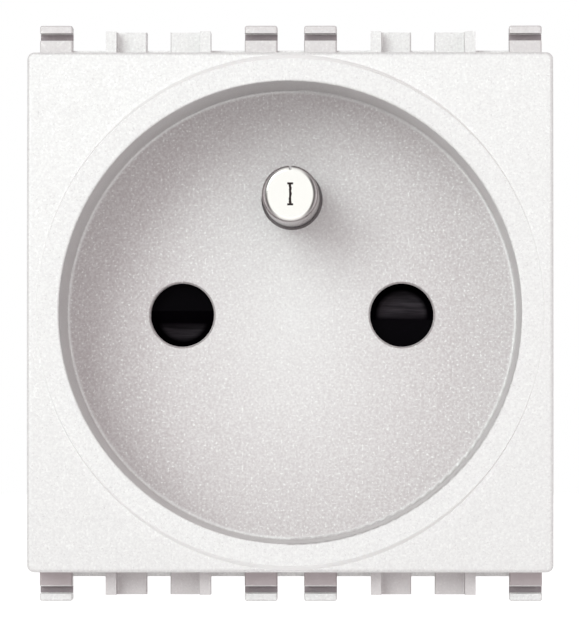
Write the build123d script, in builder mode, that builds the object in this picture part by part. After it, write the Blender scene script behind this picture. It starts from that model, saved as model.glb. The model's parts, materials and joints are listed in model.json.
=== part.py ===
from build123d import *
import math
import os

# Snap-in wall socket insert with an earth pin, two modules wide.
# Frame: X to the right, Y into the wall (the face looks towards -Y), Z up.
# The origin lies on the axis of the round well, in the plane where the insert
# seats on its mounting frame. Lengths are in millimetres.

os.makedirs("parts", exist_ok=True)

# Round well
well_radius = 19.5
well_depth = 15.0
well_wall = 1.2
well_floor = 2.0
well_rim_radius = 0.15
well_floor_radius = 0.25

# Face plate and the raised ring round the well
face_y = -8.0
land_width = 1.9
land_slope = 30.0
plate_border = 0.8
plate_squat = 0.5
plate_rear_y = -1.6
plate_skin = 2.1
face_bow = 0.6
plate_corner_radius = 0.6
plate_edge_radius = 0.3
land_proud = 0.03

# Collar in front of the seat plane and spigot behind it
collar_inset = 0.7
collar_lip = 0.45
collar_corner_radius = 1.0
spigot_inset = 0.4
seat_width = 0.8
spigot_corner_radius = 1.2
cover_wall = 1.4

# Entries and earth pin
entry_spacing = 19.0
entry_radius = 2.75
entry_chamfer = 0.15
earth_height = 10.0
earth_radius = 2.4
earth_length = 14.0
earth_tip_radius = 0.45
earth_neck_radius = 2.1
earth_play = 0.25
earth_flange_radius = 3.4
earth_flange = 0.8
earth_tenon_radius = 1.5
earth_rivet_radius = 2.2
earth_rivet = 0.6
seam_width = 0.22
seam_depth = 0.35
mark_width = 0.18
mark_height = 1.95
mark_serif = 0.5
mark_depth = 0.25

# Mounting tabs along the top and bottom of the collar
module_gap = 0.3
hook_inset = 2.53
hook_width = 2.78
hook_corner_radius = 0.2
hook_front_y = -2.5
hook_rear_y = 6.5
hook_pad = 0.81
hook_slot = 0.64
hook_slot_depth = 1.4
hook_web = 0.8
hook_arm = 0.64
hook_arm_inset = 0.4
hook_lead = 1.2
tab_edge_radius = 0.15
catch_depth = 0.25
catch_length = 2.0
lug_inner = 1.0
lug_outer = 4.45
lug_leg = 0.9
lug_height = 1.53
lug_depth = 2.0
lug_leg_depth = 4.0

# Rear housing and its screws
housing_inset = 0.6
housing_corner_radius = 3.2
housing_wall = 1.4
housing_back = 1.8
housing_edge = 0.8
post_radius = 3.0
boss_radius = 2.6
screw_seat_y = 16.0
screw_shank_radius = 1.1
screw_shank_length = 14.5
screw_head_radius = 1.85
screw_head = 1.4
screw_play = 0.1
thread_play = 0.02
drive_width = 0.5
drive_span = 2.2
drive_depth = 0.8

# Shutter chamber
chamber_gap = 0.3
shutter_depth = 5.3
shutter_gap = 0.2
shutter_travel = 42.0
wing_reach = 13.2
wing_above = 3.3
wing_below = 3.6
wing_inner = 5.6
ramp_rise = 3.7
ramp_depth = 2.6
wing_corner_radius = 0.7
hub_radius = 4.6
hub_depth = 2.5
hub_sleeve_radius = 1.95
pivot_radius = 1.2
pivot_play = 0.05
pivot_head_radius = 1.9
pivot_head = 0.7
stop_radius = 1.0
stop_reach = 11.8
stop_gap = 0.15
spring_radius = 2.65
spring_wire = 0.4
spring_pitch = 0.55
spring_turns = 2.0
peg_radius = 0.6
peg_play = 0.05
rotor_peg_reach = 3.4
carrier_peg_reach = 4.4

# Contact carrier, a tray between the well floor and the contacts
carrier_plate = 1.4
carrier_play = 0.15
carrier_rim = 1.0
carrier_entry_radius = 2.9

# Rolled contacts and their outer spring clips
contact_bore_radius = 2.3
strip = 0.8
contact_front_gap = 0.4
contact_length = 10.4
contact_slit_angle = 60.0
contact_mouth = 0.3
clip_play = 0.05
clip_strip = 0.4
clip_offset = 1.4
clip_length = 2.5

# Screw terminals with rising cages
terminal_gap = 0.6
wire_lead = 2.6
busbar_play = 0.25
busbar_overhang = 3.3
wire_gap = 4.2
cage_play = 0.5
cage_height = 6.0
cage_side = 0.85
cage_front = 0.9
cage_rear = 1.6
cage_front_gap = 0.4
cage_corner_radius = 0.5
cage_back_gap = 0.9
cage_travel = 3.4
terminal_screw_radius = 1.75
terminal_thread_play = 0.05
terminal_head_radius = 3.0
terminal_head = 1.2
terminal_head_gap = 0.3
terminal_tip_gap = 0.1
access_radius = 2.7
slot_width = 0.8
slot_depth = 0.6
access_funnel = 0.6
partition = 1.6
clip_gap = 0.1
mouth_play = 0.15
mouth_margin = 0.2
mouth_funnel = 0.5
strut = 1.2

# Planes across the depth of the insert
well_floor_y = face_y + well_depth
cover_rear_y = well_floor_y + well_floor
shutter_front_y = cover_rear_y + chamber_gap
shutter_rear_y = shutter_front_y + shutter_depth
carrier_front_y = shutter_rear_y + shutter_gap
carrier_rear_y = carrier_front_y + carrier_plate
contact_front_y = carrier_rear_y + contact_front_gap
contact_rear_y = contact_front_y + contact_length
cage_front_y = carrier_rear_y + cage_front_gap
wire_front_y = cage_front_y + cage_front
busbar_front_y = wire_front_y + wire_gap
busbar_rear_y = busbar_front_y + strip
cage_thread_y = busbar_rear_y + cage_back_gap
cage_rear_y = cage_thread_y + cage_rear
terminal_head_y = cage_rear_y + cage_travel + terminal_head_gap
housing_floor_y = terminal_head_y + terminal_head + terminal_head_gap
housing_rear_y = housing_floor_y + housing_back

# Each outline follows the one inside it
land_radius = well_radius + land_width
plate_width = 2 * (land_radius + plate_border)
plate_height = plate_width - plate_squat
collar_width = plate_width - 2 * collar_inset
collar_height = plate_height + 2 * collar_lip
spigot_width = collar_width - 2 * spigot_inset
spigot_height = collar_height - 2 * seat_width
housing_width = spigot_width - 2 * housing_inset
housing_height = spigot_height - 2 * housing_inset

# Places in the face
entry_x = entry_spacing / 2
module_pitch = plate_width / 2 + module_gap
hook_offset = module_pitch / 2 - hook_inset
collar_top = collar_height / 2
hook_pad_top = collar_top + hook_pad
hook_slot_top = hook_pad_top + hook_slot
hook_top = hook_slot_top + hook_arm
hook_slot_y = hook_front_y + hook_slot_depth
hook_web_y = hook_slot_y + hook_web
module_centres = (-module_pitch / 2, module_pitch / 2)
screw_x = housing_width / 2 - housing_corner_radius
screw_z = housing_height / 2 - housing_corner_radius
screw_places = [(x, z) for x in (-screw_x, screw_x) for z in (-screw_z, screw_z)]

# Three cages share the width between the corner posts, with partitions between them
terminal_spacing = partition + 2 * cage_play
terminal_reach = screw_x - post_radius - terminal_gap
cage_width = 2 * (terminal_reach - terminal_spacing) / 3
terminal_pitch = cage_width + terminal_spacing
terminal_z = wire_lead + cage_height / 2 + housing_wall - housing_height / 2
busbar_width = cage_width - 2 * (cage_side + busbar_play)
mouth_width = cage_width - 2 * (cage_side + mouth_play)
terminal_places = {"left": -terminal_pitch, "earth": 0.0, "right": terminal_pitch}
contact_radius = contact_bore_radius + strip
clip_radius = contact_radius + clip_play
coil_front_y = shutter_front_y + hub_depth + spring_wire
coil_height = spring_pitch * spring_turns
peg_z = spring_radius - spring_wire / 2 - peg_radius - peg_play
busbar_bottom = terminal_z - busbar_overhang


def layer(y):
    """A sketch plane at depth y, seen from the front: X to the right and Z up."""
    return Plane(origin=(0, y, 0), x_dir=(1, 0, 0), z_dir=(0, -1, 0))


def turned(x, z, degrees):
    """A point of the face turned clockwise, as seen from the front, about the well's axis."""
    angle = math.radians(-degrees)
    return (
        x * math.cos(angle) - z * math.sin(angle),
        x * math.sin(angle) + z * math.cos(angle),
    )


def head_outline(side):
    """Corners of a snap arm's head seen from the side: pad, slot open to the front, lip."""
    root = spigot_height / 2 - cover_wall / 2
    points = [
        (hook_front_y, root),
        (hook_front_y, hook_pad_top),
        (hook_slot_y, hook_pad_top),
        (hook_slot_y, hook_slot_top),
        (hook_front_y, hook_slot_top),
        (hook_front_y, hook_top),
        (hook_web_y, hook_top),
        (hook_web_y, root),
    ]
    return [(y, side * z) for y, z in points]


def arm_outline(side):
    """Corners of the springy arm behind the head: notch for the rail, catch, lead-in."""
    catch_top = hook_top - catch_depth
    points = [
        (hook_slot_y, hook_slot_top),
        (hook_slot_y, hook_top),
        (0, hook_top),
        (0, catch_top),
        (catch_length, catch_top),
        (catch_length + catch_depth, hook_top),
        (hook_rear_y - hook_lead, hook_top),
        (hook_rear_y, hook_slot_top + catch_depth),
        (hook_rear_y, hook_slot_top),
    ]
    return [(y, side * z) for y, z in points]


# Front cover: plate, collar, spigot, well and tabs in one moulding
with BuildPart() as front_cover:
    with BuildSketch(Plane.YZ):
        crown_y = face_y + land_proud
        edge_y = crown_y + face_bow
        half = plate_height / 2
        with BuildLine():
            ThreePointArc((edge_y, -half), (crown_y, 0), (edge_y, half))
            Polyline((edge_y, half), (plate_rear_y, half), (plate_rear_y, -half), (edge_y, -half))
        make_face()
    extrude(amount=plate_width / 2, both=True)
    fillet(front_cover.edges().filter_by(Axis.Y), plate_corner_radius)
    fillet(front_cover.faces().sort_by(Axis.Y)[0].edges(), plate_edge_radius)
    land_rise = land_proud + face_bow
    with BuildSketch(layer(face_y + land_rise)):
        Circle(land_radius + land_rise * math.tan(math.radians(land_slope)))
    extrude(amount=land_rise, taper=land_slope)
    with BuildSketch(layer(0)):
        RectangleRounded(collar_width, collar_height, collar_corner_radius)
    extrude(amount=-plate_rear_y)
    with BuildSketch(layer(cover_rear_y)):
        RectangleRounded(spigot_width, spigot_height, spigot_corner_radius)
    extrude(amount=cover_rear_y)

    # Hollow behind the plate, with the well's wall and the screw bosses left in it
    with BuildSketch(layer(cover_rear_y)):
        Rectangle(spigot_width - 2 * cover_wall, spigot_height - 2 * cover_wall)
        Circle(well_radius + well_wall, mode=Mode.SUBTRACT)
        with Locations(*screw_places):
            Circle(boss_radius, mode=Mode.SUBTRACT)
    extrude(amount=cover_rear_y - face_y - plate_skin, mode=Mode.SUBTRACT)

    # Snap arms and stop lugs
    for centre in module_centres:
        for hand in (-1, 1):
            hook_x = centre + hand * hook_offset
            lug_x = centre + hand * (lug_inner + lug_outer) / 2
            leg_x = centre + hand * (lug_outer - lug_leg / 2)
            for side in (-1, 1):
                with BuildSketch(Plane.YZ.offset(hook_x)):
                    with BuildLine():
                        Polyline(head_outline(side), close=True)
                    make_face()
                extrude(amount=hook_width / 2, both=True)
                with BuildSketch(Plane.YZ.offset(hook_x)):
                    with BuildLine():
                        Polyline(arm_outline(side), close=True)
                    make_face()
                extrude(amount=hook_width / 2 - hook_arm_inset, both=True)
                lug_z = side * (collar_top + lug_height / 2 - cover_wall / 2)
                with BuildSketch(layer(0)):
                    with Locations((lug_x, lug_z)):
                        Rectangle(lug_outer - lug_inner, lug_height + cover_wall)
                extrude(amount=lug_depth)
                with BuildSketch(layer(0)):
                    with Locations((leg_x, lug_z)):
                        Rectangle(lug_leg, lug_height + cover_wall)
                extrude(amount=lug_leg_depth)
    lips = front_cover.edges().filter_by(Axis.Y).filter_by(
        lambda edge: edge.center().Y < hook_web_y and abs(abs(edge.center().Z) - hook_top) < 0.01
    )
    fillet(lips, hook_corner_radius)
    fronts = front_cover.edges().filter_by(Axis.Z).filter_by(
        lambda edge: abs(edge.center().Y - hook_front_y) < 0.01
        or abs(edge.center().Y + lug_depth) < 0.01
    )
    fillet(fronts, tab_edge_radius)

    # The well and its entries
    with BuildSketch(layer(well_floor_y)):
        Circle(well_radius)
    extrude(amount=well_depth, mode=Mode.SUBTRACT)
    rim = front_cover.edges().filter_by(GeomType.CIRCLE).filter_by(
        lambda edge: abs(edge.radius - well_radius) < 0.01
    ).sort_by(Axis.Y)
    fillet(rim[0], well_rim_radius)
    fillet(rim[-1], well_floor_radius)
    with BuildSketch(layer(cover_rear_y)):
        with Locations((-entry_x, 0), (entry_x, 0)):
            Circle(entry_radius)
        with Locations((0, earth_height)):
            Circle(earth_radius + earth_play)
    extrude(amount=well_floor, mode=Mode.SUBTRACT)
    entries = front_cover.edges().filter_by(GeomType.CIRCLE).filter_by(
        lambda edge: abs(edge.radius - entry_radius) < 0.01
    ).group_by(Axis.Y)[0]
    chamfer(entries, entry_chamfer)
    with BuildSketch(layer(cover_rear_y)):
        with Locations(*screw_places):
            Circle(screw_shank_radius + thread_play)
    extrude(
        amount=cover_rear_y - (screw_seat_y - screw_shank_length) + chamber_gap,
        mode=Mode.SUBTRACT,
    )
front_cover.part.label = "front_cover"
export_step(front_cover.part, "parts/front_cover.step")


# Rear housing: a box with corner posts, terminal openings and partitions
with BuildPart() as rear_housing:
    inner_width = housing_width - 2 * housing_wall
    inner_height = housing_height - 2 * housing_wall
    with BuildSketch(layer(housing_rear_y)):
        RectangleRounded(housing_width, housing_height, housing_corner_radius)
    extrude(amount=housing_rear_y - cover_rear_y)
    chamfer(rear_housing.faces().sort_by(Axis.Y)[-1].edges(), housing_edge)
    with BuildSketch(layer(housing_floor_y)):
        Rectangle(inner_width, inner_height)
        with Locations(*screw_places):
            Circle(post_radius, mode=Mode.SUBTRACT)
    extrude(amount=housing_floor_y - cover_rear_y, mode=Mode.SUBTRACT)

    # Partitions between the earth and the live parts carry the tray
    partition_x = terminal_pitch / 2
    with BuildSketch(layer(housing_floor_y)):
        with Locations((-partition_x, 0), (partition_x, 0)):
            Rectangle(partition, inner_height)
    extrude(amount=housing_floor_y - carrier_rear_y)
    with BuildSketch(layer(contact_rear_y)):
        with Locations((-entry_x, 0), (entry_x, 0)):
            Circle(clip_radius + clip_strip + clip_gap)
    extrude(amount=contact_rear_y - carrier_rear_y, mode=Mode.SUBTRACT)

    # Stub tubes behind the contacts and struts behind the busbars
    with BuildSketch(layer(housing_floor_y)):
        with Locations((-entry_x, 0), (entry_x, 0)):
            Circle(contact_radius)
            Circle(contact_bore_radius, mode=Mode.SUBTRACT)
    extrude(amount=housing_floor_y - contact_rear_y - chamber_gap)
    strut_z = (terminal_z + cage_height / 2 - contact_radius) / 2
    strut_length = inner_width / 2 - partition_x
    with BuildSketch(layer(housing_floor_y)):
        with Locations(
            (-partition_x - strut_length / 2, strut_z),
            (partition_x + strut_length / 2, strut_z),
            (0, strut_z),
        ):
            Rectangle(strut_length, strut)
    extrude(amount=housing_floor_y - busbar_rear_y - chamber_gap)

    # Screwdriver holes in the back and wire mouths in the bottom
    with BuildSketch(layer(housing_rear_y)):
        with Locations(*[(x, terminal_z) for x in terminal_places.values()]):
            Circle(access_radius)
    extrude(amount=housing_rear_y - housing_floor_y, mode=Mode.SUBTRACT)
    access = rear_housing.edges().filter_by(GeomType.CIRCLE).filter_by(
        lambda edge: abs(edge.radius - access_radius) < 0.01
    ).group_by(Axis.Y)[-1]
    chamfer(access, access_funnel)
    with BuildSketch(Plane.XY.offset(-housing_height / 2)):
        with Locations(
            *[(x, (wire_front_y + busbar_front_y) / 2) for x in terminal_places.values()]
        ):
            Rectangle(mouth_width, wire_gap + 2 * mouth_margin)
    extrude(amount=housing_wall, mode=Mode.SUBTRACT)
    mouths = rear_housing.faces().sort_by(Axis.Z)[0].inner_wires()
    chamfer([edge for wire in mouths for edge in wire.edges()], mouth_funnel)

    # Screw holes with deep recesses for the heads
    with BuildSketch(layer(housing_rear_y)):
        with Locations(*screw_places):
            Circle(screw_head_radius + screw_play)
    extrude(amount=housing_rear_y - screw_seat_y, mode=Mode.SUBTRACT)
    with BuildSketch(layer(screw_seat_y)):
        with Locations(*screw_places):
            Circle(screw_shank_radius + screw_play)
    extrude(amount=screw_seat_y - cover_rear_y, mode=Mode.SUBTRACT)
rear_housing.part.label = "rear_housing"
export_step(rear_housing.part, "parts/rear_housing.step")


# Contact carrier: the tray that the shutter turns in
with BuildPart() as contact_carrier:
    tray_width = inner_width - 2 * carrier_play
    tray_height = inner_height - 2 * carrier_play
    notch_radius = post_radius + carrier_play
    with BuildSketch(layer(carrier_rear_y)):
        Rectangle(tray_width, tray_height)
        with Locations(*screw_places):
            Circle(notch_radius, mode=Mode.SUBTRACT)
    extrude(amount=carrier_rear_y - cover_rear_y)
    with BuildSketch(layer(carrier_front_y)):
        Rectangle(tray_width - 2 * carrier_rim, tray_height - 2 * carrier_rim)
        with Locations(*screw_places):
            Circle(notch_radius + carrier_rim, mode=Mode.SUBTRACT)
    extrude(amount=carrier_front_y - cover_rear_y, mode=Mode.SUBTRACT)

    # Stops at both ends of the shutter's travel, and the post that anchors its spring
    closed_stop = (stop_reach, wing_above + stop_gap + stop_radius)
    open_stop = turned(stop_reach, -wing_below - stop_gap - stop_radius, shutter_travel)
    with BuildSketch(layer(carrier_front_y)):
        with Locations(
            closed_stop,
            open_stop,
            (-closed_stop[0], -closed_stop[1]),
            (-open_stop[0], -open_stop[1]),
        ):
            Circle(stop_radius)
    extrude(amount=carrier_front_y - shutter_front_y - ramp_depth)
    with BuildSketch(layer(carrier_front_y)):
        with Locations((carrier_peg_reach, peg_z)):
            Circle(peg_radius)
    extrude(amount=carrier_front_y - coil_front_y)

    # Ways through for the plug's pins, the shutter's pivot and the earth tenon
    with BuildSketch(layer(carrier_rear_y)):
        with Locations((-entry_x, 0), (entry_x, 0)):
            Circle(carrier_entry_radius)
        Circle(pivot_radius)
        with Locations((0, earth_height)):
            Circle(earth_tenon_radius)
    extrude(amount=carrier_plate, mode=Mode.SUBTRACT)

    # Ribs in front of the busbars
    with BuildSketch(layer(busbar_front_y - chamber_gap)):
        with Locations((-terminal_pitch, strut_z), (terminal_pitch, strut_z)):
            Rectangle(busbar_width, strut)
    extrude(amount=busbar_front_y - chamber_gap - carrier_rear_y)
contact_carrier.part.label = "contact_carrier"
export_step(contact_carrier.part, "parts/contact_carrier.step")


# Shutter: one rotor whose ramps turn aside when both pins push at once
with BuildPart() as shutter_rotor:
    with BuildSketch(layer(shutter_front_y + hub_depth)):
        Circle(hub_radius)
        Rectangle(2 * wing_inner, wing_above + wing_below)
    extrude(amount=hub_depth)
    for hand in (-1, 1):
        wing_middle = hand * (wing_inner + wing_reach) / 2
        wing_lift = hand * (wing_above - wing_below) / 2
        with BuildSketch(layer(shutter_rear_y)):
            with Locations((wing_middle, wing_lift)):
                Rectangle(wing_reach - wing_inner, wing_above + wing_below)
        extrude(amount=shutter_depth)
        with BuildSketch(Plane.YZ.offset(wing_middle)):
            with BuildLine():
                Polyline(
                    (shutter_front_y, hand * (wing_above - ramp_rise)),
                    (shutter_front_y, hand * wing_above),
                    (shutter_front_y + ramp_depth, hand * wing_above),
                    close=True,
                )
            make_face()
        extrude(amount=(wing_reach - wing_inner) / 2, both=True, mode=Mode.SUBTRACT)
    fillet(shutter_rotor.edges().filter_by(Axis.Y).group_by(Axis.X)[0], wing_corner_radius)
    fillet(shutter_rotor.edges().filter_by(Axis.Y).group_by(Axis.X)[-1], wing_corner_radius)
    with BuildSketch(layer(shutter_rear_y)):
        Circle(hub_sleeve_radius)
    extrude(amount=shutter_depth)
    with BuildSketch(layer(coil_front_y + spring_wire)):
        with Locations((-rotor_peg_reach, peg_z)):
            Circle(peg_radius)
    extrude(amount=2 * spring_wire)
    with BuildSketch(layer(shutter_rear_y)):
        Circle(pivot_radius + pivot_play)
    extrude(amount=shutter_depth, mode=Mode.SUBTRACT)
    with BuildSketch(layer(shutter_front_y + pivot_head)):
        Circle(pivot_head_radius + pivot_play)
    extrude(amount=pivot_head, mode=Mode.SUBTRACT)
shutter_rotor.part.label = "shutter_rotor"
export_step(shutter_rotor.part, "parts/shutter_rotor.step")


# Pivot pin with a flat head, fixed in the carrier
with BuildPart() as shutter_pivot:
    with BuildSketch(layer(carrier_rear_y)):
        Circle(pivot_radius)
    extrude(amount=carrier_rear_y - shutter_front_y)
    with BuildSketch(layer(shutter_front_y + pivot_head - pivot_play)):
        Circle(pivot_head_radius)
    extrude(amount=pivot_head)
shutter_pivot.part.label = "shutter_pivot"
export_step(shutter_pivot.part, "parts/shutter_pivot.step")


# Torsion spring round the rotor's sleeve, with a leg on the rotor's peg and one on the carrier's
with BuildPart() as shutter_spring:
    with BuildLine() as coil:
        Helix(
            pitch=spring_pitch,
            height=coil_height,
            radius=spring_radius,
            center=(0, coil_front_y, 0),
            direction=(0, 1, 0),
        )
    with BuildSketch(Plane(origin=coil.line @ 0, z_dir=coil.line % 0)):
        Circle(spring_wire / 2)
    sweep(path=coil.line, is_frenet=True)
    with BuildSketch(Plane(origin=coil.line @ 0, z_dir=-(coil.line % 0))):
        Circle(spring_wire / 2)
    extrude(amount=rotor_peg_reach + peg_radius)
    with BuildSketch(Plane(origin=coil.line @ 1, z_dir=coil.line % 1)):
        Circle(spring_wire / 2)
    extrude(amount=carrier_peg_reach + peg_radius)
shutter_spring.part.label = "shutter_spring"
export_step(shutter_spring.part, "parts/shutter_spring.step")


# Rolled contacts with a busbar tab, and the clips that press them shut
for name, hand in (("left", -1), ("right", 1)):
    slit = math.radians(contact_slit_angle / 2)
    slit_reach = 2 * contact_radius
    centre = hand * entry_x
    slit_points = [
        (centre, 0),
        (centre - slit_reach * math.sin(slit), slit_reach * math.cos(slit)),
        (centre + slit_reach * math.sin(slit), slit_reach * math.cos(slit)),
    ]
    with BuildPart() as line_contact:
        with BuildSketch(layer(contact_rear_y)):
            with Locations((centre, 0)):
                Circle(contact_radius)
                Circle(contact_bore_radius, mode=Mode.SUBTRACT)
            with BuildLine():
                Polyline(slit_points, close=True)
            make_face(mode=Mode.SUBTRACT)
        extrude(amount=contact_length)
        tab_top = -(contact_bore_radius + strip / 2)
        with BuildSketch(layer(busbar_rear_y)):
            with Locations((hand * terminal_pitch, (tab_top + busbar_bottom) / 2)):
                Rectangle(busbar_width, tab_top - busbar_bottom)
        extrude(amount=strip)
        mouth = line_contact.edges().filter_by(GeomType.CIRCLE).filter_by(
            lambda edge: abs(edge.radius - contact_bore_radius) < 0.01
        ).group_by(Axis.Y)[0]
        chamfer(mouth, contact_mouth)
    line_contact.part.label = f"line_contact_{name}"
    export_step(line_contact.part, f"parts/line_contact_{name}.step")

    with BuildPart() as contact_clip:
        with BuildSketch(layer(contact_front_y + clip_offset + clip_length)):
            with Locations((centre, 0)):
                Circle(clip_radius + clip_strip)
                Circle(clip_radius, mode=Mode.SUBTRACT)
            with BuildLine():
                Polyline(slit_points, close=True)
            make_face(mode=Mode.SUBTRACT)
        extrude(amount=clip_length)
    contact_clip.part.label = f"contact_clip_{name}"
    export_step(contact_clip.part, f"parts/contact_clip_{name}.step")


# Earth pin, rolled from strip, with a flange behind the well's floor and a riveted tenon
with BuildPart() as earth_pin:
    pin_tip_y = well_floor_y - earth_length
    strap_rear_y = carrier_rear_y + strip
    profile = [
        (0, pin_tip_y),
        (earth_radius, pin_tip_y),
        (earth_radius, well_floor_y),
        (earth_neck_radius, well_floor_y),
        (earth_neck_radius, cover_rear_y),
        (earth_flange_radius, cover_rear_y),
        (earth_flange_radius, cover_rear_y + earth_flange),
        (earth_radius, cover_rear_y + earth_flange),
        (earth_radius, carrier_front_y),
        (earth_tenon_radius, carrier_front_y),
        (earth_tenon_radius, strap_rear_y),
        (earth_rivet_radius, strap_rear_y),
        (earth_rivet_radius, strap_rear_y + earth_rivet),
        (0, strap_rear_y + earth_rivet),
    ]
    with BuildSketch(Plane.XY.offset(earth_height)):
        with BuildLine():
            Polyline(profile, close=True)
        make_face()
    revolve(axis=Axis((0, 0, earth_height), (0, 1, 0)))
    fillet(earth_pin.edges().sort_by(Axis.Y)[0], earth_tip_radius)
    with BuildSketch(layer(well_floor_y)):
        with Locations((0, earth_height + earth_radius)):
            Rectangle(seam_width, 2 * seam_depth)
    extrude(amount=earth_length, mode=Mode.SUBTRACT)
    serif_z = (mark_height - mark_width) / 2
    with BuildSketch(layer(pin_tip_y + mark_depth)):
        with Locations((0, earth_height)):
            Rectangle(mark_width, mark_height)
        with Locations((0, earth_height - serif_z), (0, earth_height + serif_z)):
            Rectangle(mark_serif, mark_width)
    extrude(amount=mark_depth, mode=Mode.SUBTRACT)
earth_pin.part.label = "earth_pin"
export_step(earth_pin.part, "parts/earth_pin.step")


# Earth strap: from the pin's tenon, between the contacts, down to the middle terminal
with BuildPart() as earth_strap:
    step_z = terminal_z + cage_height / 2 + busbar_width / 2
    strap_top = earth_height + earth_flange_radius
    strap_points = [
        (carrier_rear_y, strap_top),
        (strap_rear_y, strap_top),
        (strap_rear_y, step_z),
        (busbar_rear_y, step_z),
        (busbar_rear_y, busbar_bottom),
        (busbar_front_y, busbar_bottom),
        (busbar_front_y, step_z - strip),
        (carrier_rear_y, step_z - strip),
    ]
    with BuildSketch(Plane.YZ):
        with BuildLine():
            Polyline(strap_points, close=True)
        make_face()
    extrude(amount=busbar_width / 2, both=True)
    with BuildSketch(layer(strap_rear_y)):
        with Locations((0, earth_height)):
            Circle(earth_tenon_radius)
    extrude(amount=strip, mode=Mode.SUBTRACT)
earth_strap.part.label = "earth_strap"
export_step(earth_strap.part, "parts/earth_strap.step")


# Terminals: a cage that rises on its screw and clamps the wire against the busbar
for name, place in terminal_places.items():
    with BuildPart() as terminal_cage:
        with BuildSketch(Plane.XY.offset(terminal_z - cage_height / 2)):
            with Locations((place, (cage_front_y + cage_rear_y) / 2)):
                RectangleRounded(cage_width, cage_rear_y - cage_front_y, cage_corner_radius)
            with Locations((place, (wire_front_y + cage_thread_y) / 2)):
                Rectangle(
                    cage_width - 2 * cage_side,
                    cage_thread_y - wire_front_y,
                    mode=Mode.SUBTRACT,
                )
        extrude(amount=cage_height)
        with BuildSketch(layer(cage_rear_y)):
            with Locations((place, terminal_z)):
                Circle(terminal_screw_radius + terminal_thread_play)
        extrude(amount=cage_rear, mode=Mode.SUBTRACT)
    terminal_cage.part.label = f"terminal_cage_{name}"
    export_step(terminal_cage.part, f"parts/terminal_cage_{name}.step")

    with BuildPart() as terminal_screw:
        with BuildSketch(layer(terminal_head_y)):
            with Locations((place, terminal_z)):
                Circle(terminal_screw_radius)
        extrude(amount=terminal_head_y - busbar_rear_y - terminal_tip_gap)
        with BuildSketch(layer(terminal_head_y + terminal_head)):
            with Locations((place, terminal_z)):
                Circle(terminal_head_radius)
        extrude(amount=terminal_head)
        with BuildSketch(layer(terminal_head_y + terminal_head)):
            with Locations((place, terminal_z)):
                Rectangle(2 * terminal_head_radius, slot_width)
        extrude(amount=slot_depth, mode=Mode.SUBTRACT)
    terminal_screw.part.label = f"terminal_screw_{name}"
    export_step(terminal_screw.part, f"parts/terminal_screw_{name}.step")


# Housing screws, driven from the back into the cover's bosses
corner_names = ("lower_left", "upper_left", "lower_right", "upper_right")
for name, place in zip(corner_names, screw_places):
    with BuildPart() as housing_screw:
        with BuildSketch(layer(screw_seat_y)):
            with Locations(place):
                Circle(screw_shank_radius)
        extrude(amount=screw_shank_length)
        with BuildSketch(layer(screw_seat_y + screw_head)):
            with Locations(place):
                Circle(screw_head_radius)
        extrude(amount=screw_head)
        with BuildSketch(layer(screw_seat_y + screw_head)):
            with Locations(place):
                Rectangle(drive_span, drive_width)
                Rectangle(drive_width, drive_span)
        extrude(amount=drive_depth, mode=Mode.SUBTRACT)
    housing_screw.part.label = f"housing_screw_{name}"
    export_step(housing_screw.part, f"parts/housing_screw_{name}.step")
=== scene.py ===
import json

import bpy
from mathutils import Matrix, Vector


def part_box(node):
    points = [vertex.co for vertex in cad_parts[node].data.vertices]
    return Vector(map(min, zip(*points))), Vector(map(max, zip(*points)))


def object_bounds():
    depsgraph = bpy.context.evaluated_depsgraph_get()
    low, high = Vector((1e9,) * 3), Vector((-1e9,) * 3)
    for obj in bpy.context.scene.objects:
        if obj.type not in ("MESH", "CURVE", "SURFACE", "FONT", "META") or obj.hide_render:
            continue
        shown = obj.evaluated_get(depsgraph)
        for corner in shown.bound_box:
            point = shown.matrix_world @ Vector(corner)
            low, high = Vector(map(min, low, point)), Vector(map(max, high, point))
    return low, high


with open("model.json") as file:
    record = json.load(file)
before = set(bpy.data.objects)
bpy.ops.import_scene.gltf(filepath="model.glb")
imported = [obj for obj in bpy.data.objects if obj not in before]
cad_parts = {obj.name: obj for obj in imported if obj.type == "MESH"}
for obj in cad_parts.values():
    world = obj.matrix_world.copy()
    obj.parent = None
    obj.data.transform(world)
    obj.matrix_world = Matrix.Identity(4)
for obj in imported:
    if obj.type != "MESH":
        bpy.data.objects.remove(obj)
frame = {"nodes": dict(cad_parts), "record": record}
cadLow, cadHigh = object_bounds()
nodes = frame["nodes"]
scene = bpy.context.scene
mm = 0.001
print("frame loaded,", len(nodes), "nodes")


class Sock:
    # an output socket that takes part in sums, such as 1 - mask or mask * 0.3 + grain
    def __init__(self, finish, socket):
        self.finish = finish
        self.socket = socket

    def __add__(self, other):
        return self.finish.maths("ADD", self, other)

    def __radd__(self, other):
        return self.finish.maths("ADD", other, self)

    def __sub__(self, other):
        return self.finish.maths("SUBTRACT", self, other)

    def __rsub__(self, other):
        return self.finish.maths("SUBTRACT", other, self)

    def __mul__(self, other):
        return self.finish.maths("MULTIPLY", self, other)

    def __rmul__(self, other):
        return self.finish.maths("MULTIPLY", other, self)


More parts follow.
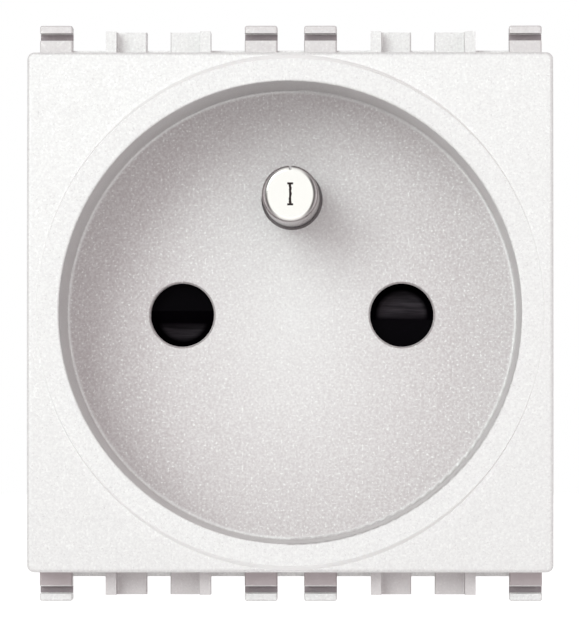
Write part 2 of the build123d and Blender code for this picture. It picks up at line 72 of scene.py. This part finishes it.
class Finish:
    # the nodes of one material or of the world
    def __init__(self, owner):
        owner.use_nodes = True
        self.owner = owner
        self.tree = owner.node_tree
        self.tree.nodes.clear()

    def add(self, kind, settings, sockets, out=0):
        # settings first, then the sockets' values or links
        node = self.tree.nodes.new(kind)
        for key, value in settings.items():
            setattr(node, key, value)
        for key, value in sockets.items():
            if isinstance(value, Sock):
                self.tree.links.new(value.socket, node.inputs[key])
            else:
                node.inputs[key].default_value = value
        return Sock(self, node.outputs[out]) if node.outputs else None

    def maths(self, operation, first, second=0):
        return self.add("ShaderNodeMath", {"operation": operation}, {0: first, 1: second})

    def vector(self, operation, first, second=(0, 0, 0), out=0):
        sockets = {0: first, 1: second}
        return self.add("ShaderNodeVectorMath", {"operation": operation}, sockets, out)

    def place(self):
        return self.add("ShaderNodeTexCoord", {}, {}, "Object")

    def normal(self):
        return self.add("ShaderNodeNewGeometry", {}, {}, "Normal")

    def along(self, vector, axis):
        return self.vector("DOT_PRODUCT", vector, axis, "Value")

    def length(self, vector):
        return self.vector("LENGTH", vector, out="Value")

    def noise(self, size, detail, stretch=(1, 1, 1)):
        # size is the width of one blotch in millimetres, stretch makes it longer along an axis
        place = self.vector("MULTIPLY", self.place(), [1 / s for s in stretch])
        sockets = {"Vector": place, "Scale": 1 / (size * mm), "Detail": detail}
        return self.add("ShaderNodeTexNoise", {}, sockets)

    def span(self, value, ends):
        # 0 up to the first end, 1 from the second on
        sockets = {"Value": value, "From Min": ends[0], "From Max": ends[1]}
        return self.add("ShaderNodeMapRange", {}, sockets)

    def edge(self, value, ends):
        # the same for a distance, with the ends in millimetres
        return self.span(value, (ends[0] * mm, ends[1] * mm))

    def blend(self, share, first, second):
        # from the first colour to the second, each a socket or three numbers; a colour mix has
        # its two colours in sockets 6 and 7 and its result in output 2
        sockets = {0: share}
        for key, colour in ((6, first), (7, second)):
            sockets[key] = colour if isinstance(colour, Sock) else (*colour, 1)
        return self.add("ShaderNodeMix", {"data_type": "RGBA"}, sockets, 2)

    def bump(self, height, depth):
        # depth in millimetres
        return self.add("ShaderNodeBump", {}, {"Height": height, "Distance": depth * mm})

    def seen(self):
        # 1 for what the camera sees, straight or in gloss and glass, and 0 for what lights
        rays = ("Is Camera Ray", "Is Glossy Ray", "Is Transmission Ray")
        return sum(self.add("ShaderNodeLightPath", {}, {}, ray) for ray in rays)

    def close(self, sockets):
        shader = self.add("ShaderNodeBsdfPrincipled", {}, sockets)
        self.add("ShaderNodeOutputMaterial", {}, {"Surface": shader})
        return self.owner


def newFinish(name):
    return Finish(bpy.data.materials.new(name))


# In every finish, sizes of grain, depths of relief and places are in millimetres. A name that ends
# in Ends gives the two noise values between which a blotch fades in. One that ends in Dull says how
# much rougher a blotch is, or how much smoother where it is below 0.
pearlWhite = {
    "light": (0.84, 0.836, 0.828), "dark": (0.73, 0.719, 0.718),
    "grain": 0.22, "grainEnds": (0.35, 0.65), "grainShare": 0.6,
    "mottle": 0.8, "mottleEnds": (0.3, 0.7), "mottleShare": 0.15, "mottleDull": 0.06,
    "flake": 0.2, "flakeEnds": (0.66, 0.74), "flakeShare": 0.5, "flakeDull": -0.12,
    "speck": (0.34, 0.3, 0.31), "speckSize": 0.13, "speckEnds": (0.72, 0.78), "speckShare": 0.18,
    # Painted shade on the well's floor, the arms' heads and the lower tabs, where shade falls
    "deep": (0.5, 0.44, 0.45),          # on the well's floor, the arms' heads and the lower tabs
    "wellShare": 0.52, "wellLevel": 1.3, "wellGrain": 0.6, "wellFlake": 0.7,
    "headShare": 0.33, "lowPadShare": 1.0, "lowLugShare": 0.5,
    # Painted shade in the slots of the arms' heads
    "slot": (0.27, 0.225, 0.24), "slotShare": 0.9,      # in the slots of the arms' heads
    # Painted light on the raised ring's edge, lighter where it turns away from the front
    "ring": (0.98, 0.975, 0.97),        # on the raised ring's edge
    "pearl": 0.5, "roughness": 0.5, "relief": 0.01, "reliefSize": 0.176,
}
# Where those painted shades and that painted light begin and end on the white cover
coverPlaces = {
    # behind the front of the face
    "wellDepth": (0.4, 2), "ringDepth": (0.8, 1), "headDepth": (5.6, 6.2), "lugDepth": (6.1, 6.4),
    "slotFront": (5.6, 6.4), "slotBack": (6.9, 7.1),
    # from the well's axis, with the floor's painted shade fading in over an oval
    "wellWall": (19.1, 19.3), "ringInner": (21.2, 21.3), "ringOuter": (21.85, 21.95),
    "wellFade": (-2, 16), "wellOval": (1.15, 0, 0.75),
    # from the tips of the snap arms towards the middle
    "slotTop": (0.64, 0.74), "slotFoot": (1.18, 1.28), "padDrop": (1.28, 1.38),
    "tabRoot": (2.44, 2.49),
    # from the middle, sideways and upwards
    "lugCentre": 11.25, "lugHalf": (6, 6.2), "upperHalf": (-1, 1),
    # the forward part of the surface's normal
    "ringFacing": (0.65, 0.85),
}


def pearlMoulding(name, look, places):
    # white moulding with fine flakes, with painted shade in the well, on the arms' heads, in their
    # slots and on the lower tabs, and painted light on the ring's edge
    f = newFinish(name)
    grain = f.span(f.noise(look["grain"], detail=3), look["grainEnds"])
    mottle = f.span(f.noise(look["mottle"], detail=1), look["mottleEnds"])
    flake = f.span(f.noise(look["flake"], detail=0), look["flakeEnds"])
    speck = f.span(f.noise(look["speckSize"], detail=0), look["speckEnds"])
    lightShare = grain * look["grainShare"] + mottle * look["mottleShare"]
    lightShare = lightShare + flake * look["flakeShare"]
    colour = f.blend(lightShare, look["dark"], look["light"])
    colour = f.blend(speck * look["speckShare"], colour, look["speck"])

    place = f.place()
    mirrored = f.vector("ABSOLUTE", place)
    behind = f.along(place, (0, 1, 0)) - cadLow.y
    drop = cadHigh.z - f.along(mirrored, (0, 0, 1))
    radius = f.length(f.vector("MULTIPLY", place, (1, 0, 1)))
    oval = f.length(f.vector("MULTIPLY", place, places["wellOval"]))
    facing = f.along(f.normal(), (0, -1, 0))
    fromLug = f.maths("ABSOLUTE", f.along(mirrored, (1, 0, 0)) - places["lugCentre"] * mm)
    upper = f.edge(f.along(place, (0, 0, 1)), places["upperHalf"])

    # Painted shade on the well's floor, darker towards the wall and fading in over an oval
    well = look["wellShare"] * f.edge(behind, places["wellDepth"])
    well = well * (1 - f.edge(radius, places["wellWall"])) * f.edge(oval, places["wellFade"])
    well = well * (look["wellLevel"] - grain * look["wellGrain"] - flake * look["wellFlake"])
    # Painted light on the raised ring's edge where it faces away from the front
    ring = f.edge(radius, places["ringInner"]) * (1 - f.edge(radius, places["ringOuter"]))
    ring = ring * (1 - f.edge(behind, places["ringDepth"]))
    ring = ring * (1 - f.span(facing, places["ringFacing"]))
    # Painted shade on the arms' heads and lower pads, on the lower tabs and in the slots
    arms = f.edge(fromLug, places["lugHalf"])
    tabs = 1 - f.edge(drop, places["tabRoot"])
    slots = arms * f.edge(drop, places["slotTop"]) * (1 - f.edge(drop, places["slotFoot"]))
    slots = slots * f.edge(behind, places["slotFront"]) * (1 - f.edge(behind, places["slotBack"]))
    heads = arms * tabs * (1 - f.edge(behind, places["headDepth"]))
    lowPads = (1 - upper) * f.edge(drop, places["padDrop"])
    lowLugs = (1 - arms) * tabs * (1 - f.edge(behind, places["lugDepth"])) * (1 - upper)

    # The painted shade and the ring's painted light go into the colour
    deepShare = well + heads * (upper * look["headShare"] + lowPads * look["lowPadShare"])
    colour = f.blend(deepShare + lowLugs * look["lowLugShare"], colour, look["deep"])
    colour = f.blend(ring, colour, look["ring"])
    colour = f.blend(slots * look["slotShare"], colour, look["slot"])
    return f.close({
        "Metallic": look["pearl"],
        "Base Color": colour,
        "Roughness": mottle * look["mottleDull"] + flake * look["flakeDull"] + look["roughness"],
        "Normal": f.bump(f.noise(look["reliefSize"], detail=4), look["relief"]),
    })


sparked = {"grainEnds": (0.3, 0.7), "grainShare": 0.7, "grainDull": 0.08,
           "haze": 6, "hazeShare": 0.3}
greyHousing = {**sparked, "light": (0.62, 0.63, 0.64), "dark": (0.56, 0.57, 0.58), "grain": 0.16,
               "roughness": 0.5, "relief": 0.012}
greyCarrier = {**sparked, "light": (0.42, 0.43, 0.44), "dark": (0.37, 0.38, 0.39), "grain": 0.2,
               "roughness": 0.55, "relief": 0.01}


def sparkedMoulding(name, look):
    # spark-eroded grey moulding
    f = newFinish(name)
    grain = f.span(f.noise(look["grain"], detail=3), look["grainEnds"])
    haze = f.noise(look["haze"], detail=2)
    lightShare = grain * look["grainShare"] + haze * look["hazeShare"]
    return f.close({
        "Base Color": f.blend(lightShare, look["dark"], look["light"]),
        "Roughness": grain * look["grainDull"] + look["roughness"],
        "Normal": f.bump(grain, look["relief"]),
    })


# The facings are the upward part of the surface's normal. The reach round an entry's axis says how
# far the rub marks and the painted light go, fade is where they begin up a ramp, and lowerFade how
# much lower underneath.
blackShutter = {
    # The worn tone is partly rub marks and partly painted light on the ramps behind the entries
    "flat": (0.0015, 0.001, 0.002), "worn": (0.09, 0.08, 0.092), "wornDull": 0.2,
    "streak": 0.3, "streakLength": 10, "streakEnds": (0.3, 0.75), "streakShare": 0.7,
    "rampFacing": (0.3, 0.4), "levelFacing": (0.95, 0.99), "upFacing": (-0.1, 0.1),
    "rubbed": (1.9, 2.3), "fade": (-0.4, 0.6), "lowerFade": 1,
    "roughness": 0.3, "gloss": 0.02, "relief": 0.004,
}
entryX = next(m["pos_m"][0] for m in frame["record"]["mounts"] if m["name"] == "live_entry")


def polishedMoulding(name, look):
    # polished black, with the ramps duller and streaked along X where the plug's pins rub them, and
    # lighter there: partly the rub marks, partly painted light falling through the entries
    f = newFinish(name)
    place = f.place()
    fromEntry = f.vector("SUBTRACT", f.vector("ABSOLUTE", place), (entryX, 0, 0))
    fromEntry = f.length(f.vector("MULTIPLY", fromEntry, (1, 0, 1)))
    upFacing = f.along(f.normal(), (0, 0, 1))
    facing = f.maths("ABSOLUTE", upFacing)
    lowered = (1 - f.span(upFacing, look["upFacing"])) * (look["lowerFade"] * mm)
    lift = f.maths("SIGN", f.along(place, (1, 0, 0))) * f.along(place, (0, 0, 1)) - lowered
    streak = f.noise(look["streak"], detail=3, stretch=(look["streakLength"], 1, 1))
    streak = f.span(streak, look["streakEnds"])

    # Lighter ramps behind the entries: streaked rub marks, and painted light that is lower on the
    # ramps facing down
    ramp = f.span(facing, look["rampFacing"]) * (1 - f.span(facing, look["levelFacing"]))
    worn = ramp * (1 - f.edge(fromEntry, look["rubbed"])) * f.edge(lift, look["fade"])
    wornShare = worn * (streak * look["streakShare"] + (1 - look["streakShare"]))
    return f.close({
        "Specular IOR Level": look["gloss"],
        "Base Color": f.blend(wornShare, look["flat"], look["worn"]),
        "Roughness": worn * look["wornDull"] + look["roughness"],
        "Normal": f.bump(streak, look["relief"]),
    })


# Radii are from the pin's axis, in an oval a little taller than wide, and depths from its tip
nickel = {
    # The body tone is a painted dark reflection, the root tone painted shade, and the darkest tone
    # a painted dark reflection round the tip's face that the seam shares
    "tip": (0.95, 0.94, 0.9), "body": (0.52, 0.475, 0.485), "root": (0.2, 0.175, 0.18),
    "groove": (0.04, 0.03, 0.03), "oval": (1, 0, 0.92),
    "bodyRadius": (2, 2.12), "bodyDull": 0.12, "rootDepth": (1.5, 13), "rootShare": 0.8,
    "grooveInner": (1.88, 2), "grooveOuter": (2.06, 2.24), "grooveAside": (0.9, 1.8),
    "grooveLeast": 0.2, "grooveMore": 0.7,
    "seamDepth": (0.02, 0.06), "seamRadius": (1.2, 1.3),
    "smudgeAside": (0.05, 0.2), "smudgeUp": (0.8, 0.9), "smudgeShare": 0.5,
    "smudgeGrain": 0.2, "smudgeEnds": (0.78, 0.92),
    "lap": 0.08, "lapLength": 6, "lapEnds": (0.3, 0.7), "lapShare": 0.25, "lapDull": 0.04,
    "roughness": 0.12, "relief": 0.0006,
}


def platedPin(name, look, node):
    # nickel plate: a polished face with a dark seam and a dark ring round it that is a painted dark
    # reflection, and a duller rounding and body whose darker tone is painted dark reflection, with
    # painted shade towards the root
    pinLow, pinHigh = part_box(node)
    axis = (pinLow + pinHigh) / 2
    f = newFinish(name)
    place = f.place()
    flat = f.vector("MULTIPLY", f.vector("SUBTRACT", place, axis), look["oval"])
    radius = f.length(flat)
    aside = f.maths("ABSOLUTE", f.along(flat, (1, 0, 0)))
    up = f.maths("ABSOLUTE", f.along(flat, (0, 0, 1)))
    behind = f.along(place, (0, 1, 0)) - pinLow.y
    lap = f.noise(look["lap"], detail=3, stretch=(1, look["lapLength"], 1))
    lap = f.span(lap, look["lapEnds"])

    # Painted dark reflection on the rounding and body, and painted shade towards the root
    body = f.edge(radius, look["bodyRadius"])
    root = body * f.edge(behind, look["rootDepth"])
    # Painted dark reflection round the rim of the tip's face, strongest at the sides
    groove = f.edge(aside, look["grooveAside"]) * look["grooveMore"] + look["grooveLeast"]
    groove = groove * f.edge(radius, look["grooveInner"])
    groove = groove * (1 - f.edge(radius, look["grooveOuter"]))
    seam = f.edge(behind, look["seamDepth"]) * (1 - f.edge(radius, look["seamRadius"]))
    smudge = (1 - f.edge(aside, look["smudgeAside"])) * (1 - f.edge(up, look["smudgeUp"]))
    smudge = smudge * look["smudgeShare"] + f.noise(look["smudgeGrain"], detail=2)
    seam = f.maths("MAXIMUM", seam, f.span(smudge, look["smudgeEnds"]))

    bodyShare = body * (lap * look["lapShare"] + (1 - look["lapShare"]))
    colour = f.blend(bodyShare, look["tip"], look["body"])
    colour = f.blend(root * look["rootShare"], colour, look["root"])
    return f.close({
        "Metallic": 1.0,
        "Base Color": f.blend(f.maths("MAXIMUM", groove, seam), colour, look["groove"]),
        "Roughness": body * look["bodyDull"] + lap * look["lapDull"] + look["roughness"],
        "Normal": f.bump(lap, look["relief"]),
    })


worked = {"lapLength": 6, "lapEnds": (0.3, 0.7), "lapShare": 0.4, "lapDull": 0.03,
          "cloud": 1.4, "cloudShare": 0.6, "cloudDull": 0.08}
brassStrip = {**worked, "light": (0.83, 0.66, 0.34), "dark": (0.66, 0.48, 0.22), "lap": 0.12,
              "roughness": 0.28, "relief": 0.002}
springSteel = {**worked, "light": (0.6, 0.6, 0.61), "dark": (0.45, 0.44, 0.44), "lap": 0.1,
               "roughness": 0.3, "relief": 0.001}
zincSteel = {**worked, "light": (0.72, 0.72, 0.7), "dark": (0.56, 0.55, 0.5), "lap": 0.3,
             "roughness": 0.34, "relief": 0.002}


def rolledMetal(name, look, way=None):
    # plated or drawn metal, with fine marks along the axis it was worked along, if any
    f = newFinish(name)
    stretch = [look["lapLength"] if axis == way else 1 for axis in "XYZ"]
    lap = f.span(f.noise(look["lap"], detail=3, stretch=stretch), look["lapEnds"])
    cloud = f.noise(look["cloud"], detail=2)
    lightShare = lap * look["lapShare"] + cloud * look["cloudShare"]
    return f.close({
        "Metallic": 1.0,
        "Base Color": f.blend(lightShare, look["dark"], look["light"]),
        "Roughness": cloud * look["cloudDull"] + lap * look["lapDull"] + look["roughness"],
        "Normal": f.bump(lap, look["relief"]),
    })


# By the start of the node's name
finishes = {
    "front_cover": pearlMoulding("pearlCover", pearlWhite, coverPlaces),
    "rear_housing": sparkedMoulding("sparkedHousing", greyHousing),
    "contact_carrier": sparkedMoulding("sparkedCarrier", greyCarrier),
    "shutter_rotor": polishedMoulding("blackShutter", blackShutter),
    "earth_pin": platedPin("nickelPin", nickel, "earth_pin"),
    "contact_clip": rolledMetal("clipSteel", springSteel, "Z"),
    "shutter_spring": rolledMetal("springWire", springSteel, "Y"),
    "shutter_pivot": rolledMetal("pivotSteel", springSteel, "Y"),
    "line_contact": rolledMetal("rolledBrass", brassStrip, "Y"),
    "earth_strap": rolledMetal("strapBrass", brassStrip, "Z"),
    "terminal_cage": rolledMetal("zincCage", zincSteel),
    "terminal_screw": rolledMetal("zincScrew", zincSteel),
    "housing_screw": rolledMetal("blackenedScrew", springSteel),
}
for name, piece in nodes.items():
    family = next(start for start in finishes if name.startswith(start))
    piece.data.materials.clear()
    piece.data.materials.append(finishes[family])
print("finishes on", len(nodes), "nodes")


# The photograph's width, height, focal length and the point where its depth lines meet are in
# pixels, the eye in millimetres, and near and far in metres
photo = {"width": 579, "height": 629, "focal": 6588, "vanishX": 366, "vanishY": 426,
         "eye": (6.4, -563, -9.6), "sensor": 36, "near": 0.01, "far": 20}
camera = bpy.data.objects.new("camera", bpy.data.cameras.new("camera"))
scene.collection.objects.link(camera)
camera.data.sensor_width = photo["sensor"]
camera.data.lens = photo["focal"] / photo["height"] * photo["sensor"]
camera.data.clip_start = photo["near"]
camera.data.clip_end = photo["far"]
camera.location = Vector(photo["eye"]) * mm
aim = Vector((
    (photo["width"] / 2 - photo["vanishX"]) / photo["focal"],
    1,
    (photo["vanishY"] - photo["height"] / 2) / photo["focal"],
))
camera.rotation_euler = aim.to_track_quat("-Z", "Y").to_euler()
scene.camera = camera
print("camera in place")


# A soft key lamp from the upper left, in metres
keyLamp = {"from": (-0.36, -1, 0.3), "distance": 3.0, "size": 1.2, "watts": 25.8,
           "colour": (0.9, 1.0, 0.975)}
light = bpy.data.lights.new("key", "AREA")
light.size = keyLamp["size"]
light.energy = keyLamp["watts"]
light.color = keyLamp["colour"]
lamp = bpy.data.objects.new("key", light)
scene.collection.objects.link(lamp)
outward = Vector(keyLamp["from"]).normalized()
lamp.location = outward * keyLamp["distance"]
lamp.rotation_euler = outward.to_track_quat("Z", "Y").to_euler()

# A studio lit from the front and from behind, with the sides dim. Its ends are cosines of the
# angle from towards, where the front light is.
studio = {"towards": (0.05, -1, 0), "sides": 0.06,
          "front": 1.22, "frontEnds": (0.5, 0.68), "frontColour": (1.0, 0.89, 0.905),
          "rear": 1.1, "rearEnds": (-0.15, -0.45), "rearColour": (0.95, 0.94, 0.93),
          "backdrop": (1, 1, 1), "backdropLevel": 1.0}
world = bpy.data.worlds.new("studio")
scene.world = world
sky = Finish(world)
direction = sky.add("ShaderNodeTexCoord", {}, {}, "Generated")
facing = sky.along(direction, studio["towards"])
frontShare = sky.span(facing, studio["frontEnds"])
rearShare = sky.span(facing, studio["rearEnds"])
level = frontShare * (studio["front"] - studio["sides"]) + studio["sides"]
level = level + rearShare * (studio["rear"] - studio["sides"])
tint = sky.blend(rearShare, studio["frontColour"], studio["rearColour"])
room = sky.add("ShaderNodeBackground", {}, {"Color": tint, "Strength": level})
backdrop = sky.add("ShaderNodeBackground", {}, {
    "Color": (*studio["backdrop"], 1),
    "Strength": studio["backdropLevel"],
})
both = sky.add("ShaderNodeMixShader", {}, {0: sky.seen(), 1: room, 2: backdrop})
sky.add("ShaderNodeOutputWorld", {}, {"Surface": both})
print("lamp and studio in place")


# Plain pale floor, drop millimetres under the insert and size metres wide. The camera sees the
# white share of it as a glow, and its shadow in the rest.
floorLook = {"drop": 12, "size": 4, "colour": (0.9, 0.9, 0.9), "white": 0.75, "glow": 1.36}
floorMesh = bpy.data.meshes.new("floor")
half = floorLook["size"] / 2
floorZ = cadLow.z - floorLook["drop"] * mm
floorMesh.from_pydata(
    [(-half, -half, floorZ), (half, -half, floorZ), (half, half, floorZ), (-half, half, floorZ)],
    [], [(0, 1, 2, 3)],
)
floor = bpy.data.objects.new("floor", floorMesh)
scene.collection.objects.link(floor)
ground = newFinish("paleFloor")
matt = ground.add("ShaderNodeBsdfDiffuse", {}, {"Color": (*floorLook["colour"], 1)})
white = ground.add("ShaderNodeEmission", {}, {"Strength": floorLook["glow"]})
whiteShare = ground.seen() * floorLook["white"]
mixed = ground.add("ShaderNodeMixShader", {}, {0: whiteShare, 1: matt, 2: white})
ground.add("ShaderNodeOutputMaterial", {}, {"Surface": mixed})
floorMesh.materials.append(ground.owner)
print("floor in place")

scene.view_settings.view_transform = "Standard"
